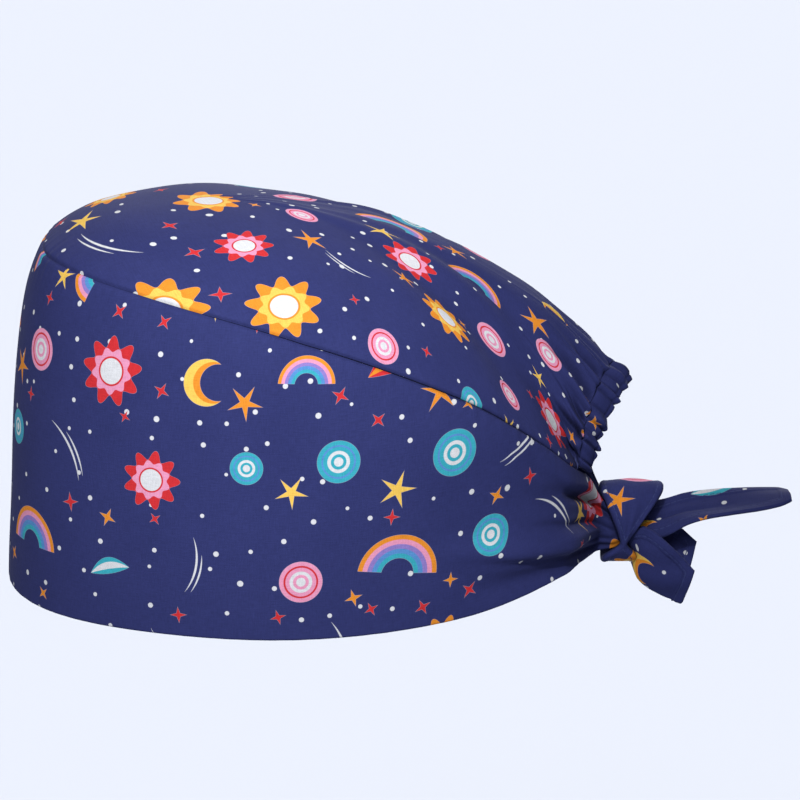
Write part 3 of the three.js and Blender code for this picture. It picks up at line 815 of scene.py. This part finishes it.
def long_tail():
    rows, columns = 170, 56
    along = np.linspace(0, 1, rows)[:, None]
    across = np.sin(np.linspace(-1, 1, columns) * math.pi / 2)[None, :]
    turn = np.radians(smooth_value(LONG_TAIL, 4, along))
    half_width = smooth_value(LONG_TAIL, 3, along) * LONG_TAIL_WIDTH / 2
    wide = points(-np.sin(turn), 0, np.cos(turn))
    line = points(smooth_value(LONG_TAIL, 1, along), along, smooth_value(LONG_TAIL, 2, along))
    root = BAND_END + np.array((0, SEAM_GAP, 0))
    middle = root + line * LONG_TAIL_LENGTH + wide * (across * half_width)[..., None]
    face = points(np.cos(turn), 0, np.sin(turn))
    wave = LONG_TAIL_WAVE * np.sin(across * 2.6 + along * 8 + 0.5) * (1 - 0.3 * along)
    wave = wave * smoothstep(along, 0.1, 0.4)
    crease = -LONG_TAIL_CREASE * bell(across - 0.15 + 0.5 * along, LONG_TAIL_CREASE_WIDTH)
    crease = crease * (1 - smoothstep(along, 0.3, 0.75))
    middle = middle + face * (wave + crease)[..., None]
    from_side = (1 - np.abs(across)) * half_width
    from_edge = np.minimum(from_side, (1 - along) * LONG_TAIL_LENGTH)
    uv = points(across * half_width, along * LONG_TAIL_LENGTH)
    piece = strip_cloth("tie_tail_long_cloth", middle, uv, from_edge, LONG_TAIL_ROLL)
    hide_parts("tie_tail_long")
    return piece


def short_tail():
    rows, columns = 100, 96
    along = np.linspace(SHORT_TAIL[0, 0], SHORT_TAIL[-1, 0], rows)[:, None]
    way = np.sin(np.linspace(-1, 1, columns) * math.pi / 2)[None, :]

    def value(column):
        return smooth_value(SHORT_TAIL, column, along) * SHORT_TAIL_DEPTH

    fold = points(value(1), 0, value(2))
    near = points(value(3), value(5), value(4))
    far = points(value(6), value(8), value(7))
    lip = np.where((way < 0)[..., None], near, far)
    middle = fold + (lip - fold) * (np.abs(way) ** SHORT_TAIL_FOLD)[..., None]
    bulge = np.sin(math.pi * np.abs(way)) * SHORT_TAIL_DEPTH * SHORT_TAIL_BULGE
    middle[..., 0] += np.sign(-way) * bulge
    middle[..., 1] += along * SHORT_TAIL_LENGTH
    middle = middle + KNOT
    around = lengths_along(middle, 1)
    from_side = np.minimum(around, around[:, -1:] - around)
    down = lengths_along(middle, 0)
    from_edge = np.minimum(from_side, down[-1:] - down)
    middle_line = around - around[:, [columns // 2]]
    middle[..., 0] += SHORT_TAIL_WAVE * np.sin(middle_line * 0.42 + down * 0.25) * smoothstep(down, 1, 6)
    uv = points(middle_line, down)
    piece = strip_cloth("tie_tail_short_cloth", middle, uv, from_edge, SHORT_TAIL_ROLL)
    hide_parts("tie_tail_short")
    return piece


# Materials
def linear(red, green, blue):
    """Linear colour of a screen colour from 0 to 255."""
    shares = (value / 255 for value in (red, green, blue))
    return (*(c / 12.92 if c <= 0.04045 else ((c + 0.055) / 1.055) ** 2.4 for c in shares), 1.0)


def ink(*lit):
    """Paint of the cloth, given as the colour that it shows in the studio's full light."""
    return (*(INK_DEPTH * c for c in linear(*lit)[:3]), 1.0)


INK_DEPTH = 0.32
NAVY = ink(47, 53, 106)
NAVY_PALE = ink(55, 61, 117)
REVERSE = ink(91, 98, 146)
STITCH_THREAD = ink(64, 73, 126)
WHITE = ink(228, 230, 236)
YELLOW = ink(250, 205, 96)
ORANGE = ink(240, 150, 50)
RED = ink(214, 52, 58)
PINK = ink(240, 160, 196)
TEAL = ink(62, 176, 196)
BLUE = ink(92, 150, 214)
LILAC = ink(150, 130, 205)
INK_SOFT = 0.12


class Nodes:
    """Short calls that add nodes to one tree and link them."""

    def __init__(self, tree):
        self.tree = tree

    def add(self, kind, **settings):
        node = self.tree.nodes.new(kind)
        for name, value in settings.items():
            setattr(node, name, value)
        return node

    def put(self, socket, value):
        if isinstance(value, bpy.types.NodeSocket):
            self.tree.links.new(value, socket)
        else:
            socket.default_value = value

    def fill(self, node, *values):
        for socket, value in zip(node.inputs, values):
            self.put(socket, value)
        return node.outputs

    def math(self, operation, *values):
        return self.fill(self.add("ShaderNodeMath", operation=operation), *values)[0]

    def plus(self, a, b):
        return self.math("ADD", a, b)

    def minus(self, a, b):
        return self.math("SUBTRACT", a, b)

    def times(self, a, b):
        return self.math("MULTIPLY", a, b)

    def over(self, a, b):
        return self.math("GREATER_THAN", a, b)

    def vector(self, operation, *values, output=0):
        return self.fill(self.add("ShaderNodeVectorMath", operation=operation), *values)[output]

    def scaled(self, vector, scale):
        node = self.add("ShaderNodeVectorMath", operation="SCALE")
        self.put(node.inputs["Scale"], scale)
        return self.fill(node, vector)[0]

    def split(self, vector):
        return self.fill(self.add("ShaderNodeSeparateXYZ"), vector)

    def join(self, x, y, z=0.0):
        return self.fill(self.add("ShaderNodeCombineXYZ"), x, y, z)[0]

    def blend(self, share, a, b):
        node = self.add("ShaderNodeMix", data_type="RGBA")
        for at, value in ((0, share), (6, a), (7, b)):
            self.put(node.inputs[at], value)
        return node.outputs[2]

    def step(self, value, edge, soft=INK_SOFT):
        """1 where value is below the edge, with a soft border."""
        node = self.add("ShaderNodeMapRange", interpolation_type="SMOOTHSTEP")
        return self.fill(node, value, self.plus(edge, soft), self.minus(edge, soft), 0.0, 1.0)[0]

    def plain(self, colour):
        return self.blend(0.0, colour, colour)

    def above(self, value, edge):
        return self.minus(1.0, self.step(value, edge))

    def radius(self, place):
        return self.vector("LENGTH", place, output=1)

    def chance(self, *place):
        return self.fill(self.add("ShaderNodeTexWhiteNoise", noise_dimensions="3D"), self.join(*place))

    def noise(self, where, scale, detail):
        node = self.add("ShaderNodeTexNoise", noise_dimensions="3D")
        self.set(node, Vector=where, Scale=scale, Detail=detail)
        return node.outputs[0]

    def set(self, node, **values):
        for name, value in values.items():
            self.put(node.inputs[name], value)

    def group(self, tree, **values):
        node = self.add("ShaderNodeGroup", node_tree=tree)
        self.set(node, **values)
        return node.outputs


def new_group(name, inputs):
    """A node group that gives an ink colour and a cover."""
    tree = bpy.data.node_groups.new(name, "ShaderNodeTree")
    for way, sockets in (("INPUT", inputs), ("OUTPUT", {"Ink": "Color", "Cover": "Float"})):
        for socket, kind in sockets.items():
            tree.interface.new_socket(socket, in_out=way, socket_type="NodeSocket" + kind)
    n = Nodes(tree)
    return n, n.add("NodeGroupInput").outputs


def motif_group(draw):
    """A node group that draws one motif. Its place is in millimetres from the motif's middle."""
    name = draw.__name__.replace("draw_", "motif_")
    n, start = new_group(name, {"Place": "Vector", "Chance": "Float"})
    colour, cover = draw(n, start["Place"], start["Chance"])
    n.set(n.add("NodeGroupOutput"), Ink=colour, Cover=cover)
    return n.tree


def turn_of(n, place):
    x, y, _ = n.split(place)
    return n.math("ARCTAN2", y, x)


def rings(n, radius, bands):
    """Colour by radius: bands lists (outer radius, colour) from the middle outwards."""
    colour = bands[-1][1]
    for edge, own in reversed(bands[:-1]):
        colour = n.blend(n.step(radius, edge), colour, own)
    return colour


# Motifs, in millimetres from their middle
PETALS = 9
PETAL_EDGE = (9.2, 1.7)
PETAL_INSIDE = (6.6, -0.7)
EYE_RINGS = (4.6, 4.0)
CRESCENT = 7.2
CRESCENT_BITE = 5.6
CRESCENT_SHADE = 6.3
ARC_HOLE = 4.8
ARC_DROP = 5.0
ARC_FOOT = 0.4
STROKE_BEND = 24.0
LEAF_HALF_LENGTH = 9.5
LEAF_BEND = 2.2
LEAF_HALF_WIDTH = 3.6
LEAF_MIDDLE = 1.5
STAR = (5, 6.4, 1.7)
SMALL_STAR = (4, 2.9, 0.9)
DOT = 0.72
DOT_SPREAD = 0.25


def draw_rosette(n, place, chance):
    radius = n.radius(place)
    wave = n.math("COSINE", n.times(turn_of(n, place), PETALS))
    edge, edge_in = (n.plus(mean, n.times(wave, swing)) for mean, swing in (PETAL_EDGE, PETAL_INSIDE))
    red = n.over(chance, 0.5)
    petal = n.blend(red, ORANGE, RED)
    colour = n.blend(n.step(radius, edge_in), petal, n.blend(red, YELLOW, PINK))
    for ring, own in zip(EYE_RINGS, (petal, WHITE)):
        colour = n.blend(n.step(radius, ring), colour, own)
    return colour, n.step(radius, edge)


def draw_ring_disc(n, place, chance):
    radius = n.radius(place)
    warm = n.over(chance, 0.45)
    main = n.blend(warm, TEAL, PINK)
    dark = n.blend(warm, BLUE, RED)
    bands = [(1.5, WHITE), (2.5, main), (3.6, WHITE), (4.9, main), (5.5, dark), (6.9, main)]
    return rings(n, radius, bands), n.step(radius, bands[-1][0])


def draw_crescent(n, place, chance):
    away = n.radius(n.vector("SUBTRACT", place, (3.4, 1.2, 0)))
    shade = n.radius(n.vector("SUBTRACT", place, (2.0, 0.7, 0)))
    colour = n.blend(n.step(shade, CRESCENT_SHADE), YELLOW, ORANGE)
    return colour, n.times(n.step(n.radius(place), CRESCENT), n.above(away, CRESCENT_BITE))


def draw_nested_arcs(n, place, chance):
    lifted = n.vector("ADD", place, (0, ARC_DROP, 0))
    radius = n.radius(lifted)
    bands = [(6.2, TEAL), (7.6, BLUE), (9.0, LILAC), (10.4, PINK), (11.8, ORANGE)]
    above = n.above(n.split(lifted)[1], ARC_FOOT)
    cover = n.times(n.times(n.step(radius, bands[-1][0]), n.above(radius, ARC_HOLE)), above)
    return rings(n, radius, bands), cover


def draw_strokes(n, place, chance):
    """Two thin tapering white strokes on one bend."""
    beside = n.vector("ADD", place, (STROKE_BEND, 0, 0))
    radius = n.radius(beside)
    y = n.split(beside)[1]
    cover = 0.0
    for bend, half_length, width, lift in ((STROKE_BEND, 11.5, 0.42, 0.0), (25.9, 8.0, 0.34, -3.0)):
        place_along = n.math("DIVIDE", n.math("ABSOLUTE", n.minus(y, lift)), half_length)
        taper = n.math("MAXIMUM", n.minus(1.0, n.math("POWER", place_along, 2.0)), 0.0)
        off = n.math("ABSOLUTE", n.minus(radius, bend))
        mask = n.times(n.step(off, n.times(taper, width)), n.step(place_along, 0.98, 0.02))
        cover = n.math("MAXIMUM", cover, mask)
    return n.plain(WHITE), cover


def draw_leaf(n, place, chance):
    x, y, _ = n.split(place)
    along = n.math("DIVIDE", y, LEAF_HALF_LENGTH)
    squared = n.times(along, along)
    round_off = n.minus(1.0, squared)
    off = n.math("ABSOLUTE", n.minus(x, n.times(squared, LEAF_BEND)))
    cover = n.step(off, n.times(round_off, LEAF_HALF_WIDTH))
    middle = n.step(off, n.times(round_off, LEAF_MIDDLE))
    cold = n.over(chance, 0.55)
    colour = n.blend(cold, n.blend(middle, RED, ORANGE), n.blend(middle, TEAL, WHITE))
    return colour, n.times(cover, n.over(round_off, 0.0))


def star_cover(n, place, count, tip, notch):
    """Cover of a straight-sided star."""
    radius = n.radius(place)
    part = 2 * math.pi / count
    share = n.math("FRACT", n.plus(n.math("DIVIDE", turn_of(n, place), part), 100.5))
    own = n.times(n.math("ABSOLUTE", n.minus(share, 0.5)), part)
    px = n.times(radius, n.math("COSINE", own))
    py = n.times(radius, n.math("SINE", own))
    notch_x = notch * math.cos(part / 2)
    notch_y = notch * math.sin(part / 2)
    size = math.hypot(notch_y, tip - notch_x)
    over = n.times(px, notch_y / size)
    beside = n.times(py, (tip - notch_x) / size)
    return n.step(n.plus(over, beside), tip * notch_y / size)


def draw_star(n, place, chance):
    return n.blend(n.over(chance, 0.6), YELLOW, ORANGE), star_cover(n, place, *STAR)


def draw_small_star(n, place, chance):
    return n.blend(n.over(chance, 0.62), RED, ORANGE), star_cover(n, place, *SMALL_STAR)


def draw_dot(n, place, chance):
    size = n.plus(DOT, n.times(chance, DOT_SPREAD))
    return n.plain(WHITE), n.step(n.radius(place), size)


# Layers of the print, drawn in this order: cell width and height, offset, wander, turning as a share of a
# full turn, seed, and the motifs with the share of cells that each takes
CELL = 35.0
SMALLEST = 0.82
SIZE_SPREAD = 0.4
PRINT_MARGIN = 700.0
SIZE_SEED = 40.0
PRINT_LAYERS = [
    ((CELL / 3, CELL / 3), (2.0, 3.0), 7.0, 0.0, 3.0, [(draw_dot, 0.58)]),
    ((CELL / 2, CELL), (CELL / 4, CELL / 2), 5.0, 0.5, 11.0, [(draw_small_star, 0.32)]),
    ((CELL, CELL), (CELL / 2, CELL / 4), 6.0, 0.5, 5.0, [(draw_star, 0.38), (draw_small_star, 0.2)]),
    ((CELL, CELL), (0.0, 0.0), 8.0, 0.45, 8.0, [
        (draw_rosette, 0.24), (draw_ring_disc, 0.24), (draw_strokes, 0.22), (draw_crescent, 0.1),
        (draw_nested_arcs, 0.1), (draw_leaf, 0.1),
    ]),
]


def print_group():
    """The whole printed pattern: cloth place in millimetres in, ink colour and cover out."""
    draws = dict.fromkeys(draw for *_, motifs in PRINT_LAYERS for draw, _ in motifs)
    drawn = {draw: motif_group(draw) for draw in draws}
    n, start = new_group("cotton_print", {"Place": "Vector"})
    place = start["Place"]
    colour = n.plain(WHITE)
    cover = 0.0
    for size, offset, wander, turning, seed, motifs in PRINT_LAYERS:
        moved = n.vector("ADD", place, (offset[0] + PRINT_MARGIN, offset[1] + PRINT_MARGIN, 0))
        x, y, _ = n.split(n.vector("DIVIDE", moved, (*size, 1)))
        row = n.math("FLOOR", y)
        x = n.plus(x, n.times(n.math("MODULO", row, 2.0), 0.5))
        column = n.math("FLOOR", x)
        chances = n.split(n.chance(column, row, seed)["Color"])
        second = n.chance(row, column, seed + SIZE_SEED)
        pick = second["Value"]
        grown = n.plus(SMALLEST, n.times(n.split(second["Color"])[1], SIZE_SPREAD))
        local = []
        for at, wide, stray in ((x, size[0], chances[0]), (y, size[1], chances[1])):
            inside = n.times(n.minus(n.math("FRACT", at), 0.5), wide)
            moved = n.plus(inside, n.times(n.minus(stray, 0.5), wander))
            local.append(n.math("DIVIDE", moved, grown))
        turned = n.add("ShaderNodeVectorRotate", rotation_type="Z_AXIS")
        spin = n.times(n.minus(chances[2], 0.5), 2 * math.pi * turning)
        n.set(turned, Vector=n.join(*local), Angle=spin)
        low = 0.0
        for draw, share in motifs:
            outputs = n.group(drawn[draw], Place=turned.outputs[0], Chance=chances[1])
            chosen = n.times(n.over(pick, low), n.math("LESS_THAN", pick, low + share))
            here = n.times(outputs["Cover"], chosen)
            colour = n.blend(here, colour, outputs["Ink"])
            cover = n.math("MAXIMUM", cover, here)
            low += share
    n.set(n.add("NodeGroupOutput"), Ink=colour, Cover=cover)
    return n.tree


THREAD = 0.42
THREAD_STRETCH = 0.12
PATCH_SCALE = 0.05
WEAVE_BUMP = 0.35
WEAVE_BUMP_HEIGHT = 0.00012
STITCH_BUMP = 3.0
ROUGHNESS = 0.82
SHINE = 0.03
SHEEN = 0.004
STITCH_PITCH = 2.4
STITCH_SHARE = 0.72
STITCH_WIDTH = 0.36
WEAVE_SHADE = 0.38
# Painted shade in creases: how far the ambient occlusion reaches, in millimetres, and the share of the
# cloth's colour left where it is fully occluded
CREASE_REACH = 7.0
CREASE_SHADE = 0.3


def cloth_material(name, printed, shift, pattern):
    """Printed cotton, or its paler reverse side. shift moves the print, so that no piece repeats another."""
    material = bpy.data.materials.new(name)
    material.use_nodes = True
    n = Nodes(material.node_tree)
    n.tree.nodes.clear()
    where = n.add("ShaderNodeUVMap", uv_map="cloth").outputs[0]
    place = n.vector("ADD", n.scaled(where, 1 / MM), shift)
    across, along = 1 / THREAD, THREAD_STRETCH / THREAD
    warp = n.noise(n.vector("MULTIPLY", place, (across, along, 1)), 1.0, 2.0)
    weft = n.noise(n.vector("MULTIPLY", place, (along, across, 1)), 1.0, 2.0)
    threads = n.plus(warp, weft)
    base = n.blend(n.noise(place, PATCH_SCALE, 3.0), NAVY if printed else REVERSE, NAVY_PALE)
    if printed:
        art = n.group(pattern, Place=place)
        base = n.blend(art["Cover"], base, art["Ink"])
    seam_where = n.split(n.add("ShaderNodeUVMap", uv_map="stitches").outputs[0])
    off = n.math("ABSOLUTE", n.times(seam_where[0], 1 / MM))
    beat = n.math("FRACT", n.times(seam_where[1], 1 / (MM * STITCH_PITCH)))
    on = n.step(n.math("ABSOLUTE", n.minus(beat, 0.5)), STITCH_SHARE / 2, 0.05)
    stitches = n.times(n.step(off, STITCH_WIDTH / 2, 0.06), on)
    base = n.blend(stitches, base, STITCH_THREAD)
    # Painted shade: ambient occlusion darkens the cloth's colour in creases, seams, gathers and folds
    crease_occlusion = n.add("ShaderNodeAmbientOcclusion", samples=6)
    n.set(crease_occlusion, Distance=CREASE_REACH * MM)
    crease_shade_factor = n.plus(CREASE_SHADE, n.times(crease_occlusion.outputs["AO"], 1 - CREASE_SHADE))
    weave = n.plus(1 - WEAVE_SHADE, n.times(threads, WEAVE_SHADE))
    # The colour's multiplier: the weave's own tone times the painted crease shade
    shade = n.times(weave, crease_shade_factor)
    bump = n.add("ShaderNodeBump")
    height = n.plus(threads, n.times(stitches, STITCH_BUMP))
    n.set(bump, Height=height, Strength=WEAVE_BUMP, Distance=WEAVE_BUMP_HEIGHT)
    shader = n.add("ShaderNodeBsdfPrincipled")
    n.set(shader, Normal=bump.outputs[0], Roughness=ROUGHNESS)
    n.set(shader, **{"Base Color": n.scaled(base, shade), "Specular IOR Level": SHINE})
    n.set(shader, **{"Sheen Weight": SHEEN, "Sheen Roughness": 0.5})
    n.set(n.add("ShaderNodeOutputMaterial"), Surface=shader.outputs[0])
    return material


# Studio
FLOOR_DROP = 800.0
FLOOR_HALF_METRES = 250.0
FLOOR_PAINT = linear(194, 198, 208)
WORLD_STRENGTH = 0.12
# Name, direction towards the light, strength and the width of its disc in degrees
SUNS = [
    ("key", (1.0, -0.15, 1.0), 3.4, 30),
    ("far_side", (-1.0, 0.15, 0.5), 5.0, 60),
]
SUN_HEIGHT = 600
# A spot lamp that lights the middle of the near side
SPOT_TOWARD = (1.0, -0.12, 1.0)
SPOT_AIM = (40.0, -12.0, 78.0)
SPOT_DISTANCE = 2600.0
SPOT_POWER = 830.0
SPOT_CONE = 7.0
SPOT_RADIUS = 0.08


def studio():
    mesh = bpy.data.meshes.new("floor")
    z = -FLOOR_DROP * MM
    plan = ((-1, -1), (1, -1), (1, 1), (-1, 1))
    corners = [(x * FLOOR_HALF_METRES, y * FLOOR_HALF_METRES, z) for x, y in plan]
    mesh.from_pydata(corners, [], [(0, 1, 2, 3)])
    material = bpy.data.materials.new("floor_paint")
    material.use_nodes = True
    n = Nodes(material.node_tree)
    paint = {"Base Color": FLOOR_PAINT, "Roughness": 1.0, "Specular IOR Level": 0.0}
    n.set(n.tree.nodes["Principled BSDF"], **paint)
    mesh.materials.append(material)
    floor = add_object("floor", mesh)

    world = bpy.data.worlds.new("studio")
    world.use_nodes = True
    n = Nodes(world.node_tree)
    n.set(n.tree.nodes["Background"], Color=linear(246, 248, 255), Strength=WORLD_STRENGTH)
    bpy.context.scene.world = world

    for name, toward, strength, spread in SUNS:
        lamp = lamp_at(name, "SUN", toward, (0, 0, SUN_HEIGHT), strength)
        lamp.angle = math.radians(spread)
    place = np.array(SPOT_AIM) + unit(np.array(SPOT_TOWARD)) * SPOT_DISTANCE
    lamp = lamp_at("spot", "SPOT", SPOT_TOWARD, place, SPOT_POWER)
    lamp.spot_size = math.radians(SPOT_CONE)
    lamp.spot_blend = 1.0
    lamp.shadow_soft_size = SPOT_RADIUS


def lamp_at(name, kind, toward, place, strength):
    lamp = bpy.data.lights.new(name, kind)
    lamp.energy = strength
    back = unit(np.array(toward, float))
    side = unit(np.cross((0.0, 0.0, 1.0), back))
    add_object(name, lamp).matrix_world = frame_matrix(side, np.cross(back, side), back, place)
    return lamp


def frame_matrix(right, up, back, place):
    matrix = np.identity(4)
    matrix[:3] = np.transpose((right, up, back, np.array(place) * MM))
    return Matrix(matrix.tolist())


def camera():
    height = math.radians(VIEW_HEIGHT)
    back = np.array((math.cos(height), 0, math.sin(height)))
    up = np.array((-math.sin(height), 0, math.cos(height)))
    data = bpy.data.cameras.new("camera")
    data.lens = LENS
    data.sensor_width = SENSOR
    holder = add_object("camera", data)
    holder.matrix_world = frame_matrix((0, 1, 0), up, back, np.array(VIEW_TARGET) + back * VIEW_DISTANCE)
    bpy.context.scene.camera = holder


def dress():
    pattern = print_group()
    outside = {
        "crown_print": (12.0, 20.0, 0),
        "band_print": (449.0, 97.0, 0),
        "casing_print": (210.0, 310.0, 0),
        "tie_print": (305.0, 12.0, 0),
    }
    made = {slot: cloth_material(slot + "_cotton", True, shift, pattern) for slot, shift in outside.items()}
    reverse = cloth_material("reverse_cotton", False, (0, 0, 0), pattern)
    pieces = [
        (crown_panel(), "crown_print", (0.22, 0.2), 0.032, "gathered"),
        (side_band(), "band_print", (0.62, 0.125), 0.06, "stretched"),
        (elastic_casing(), "casing_print", (0.125, 0.012), None, "gathered"),
        (knot_wrap(), "tie_print", (0.075, 0.015), None, "folded"),
        (knot_strand(), "tie_print", (0.026, 0.024), None, "folded"),
        (long_tail(), "tie_print", (0.019, 0.065), None, "hung"),
        (short_tail(), "tie_print", (0.045, 0.027), None, "folded"),
    ]
    for piece, slot, flat, area, held in pieces:
        piece.data.materials.append(made[slot])
        piece.data.materials.append(reverse if slot != "tie_print" else made[slot])
        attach(piece, "root")


bpy.context.scene.view_settings.view_transform = "Standard"
camera()
studio()
dress()
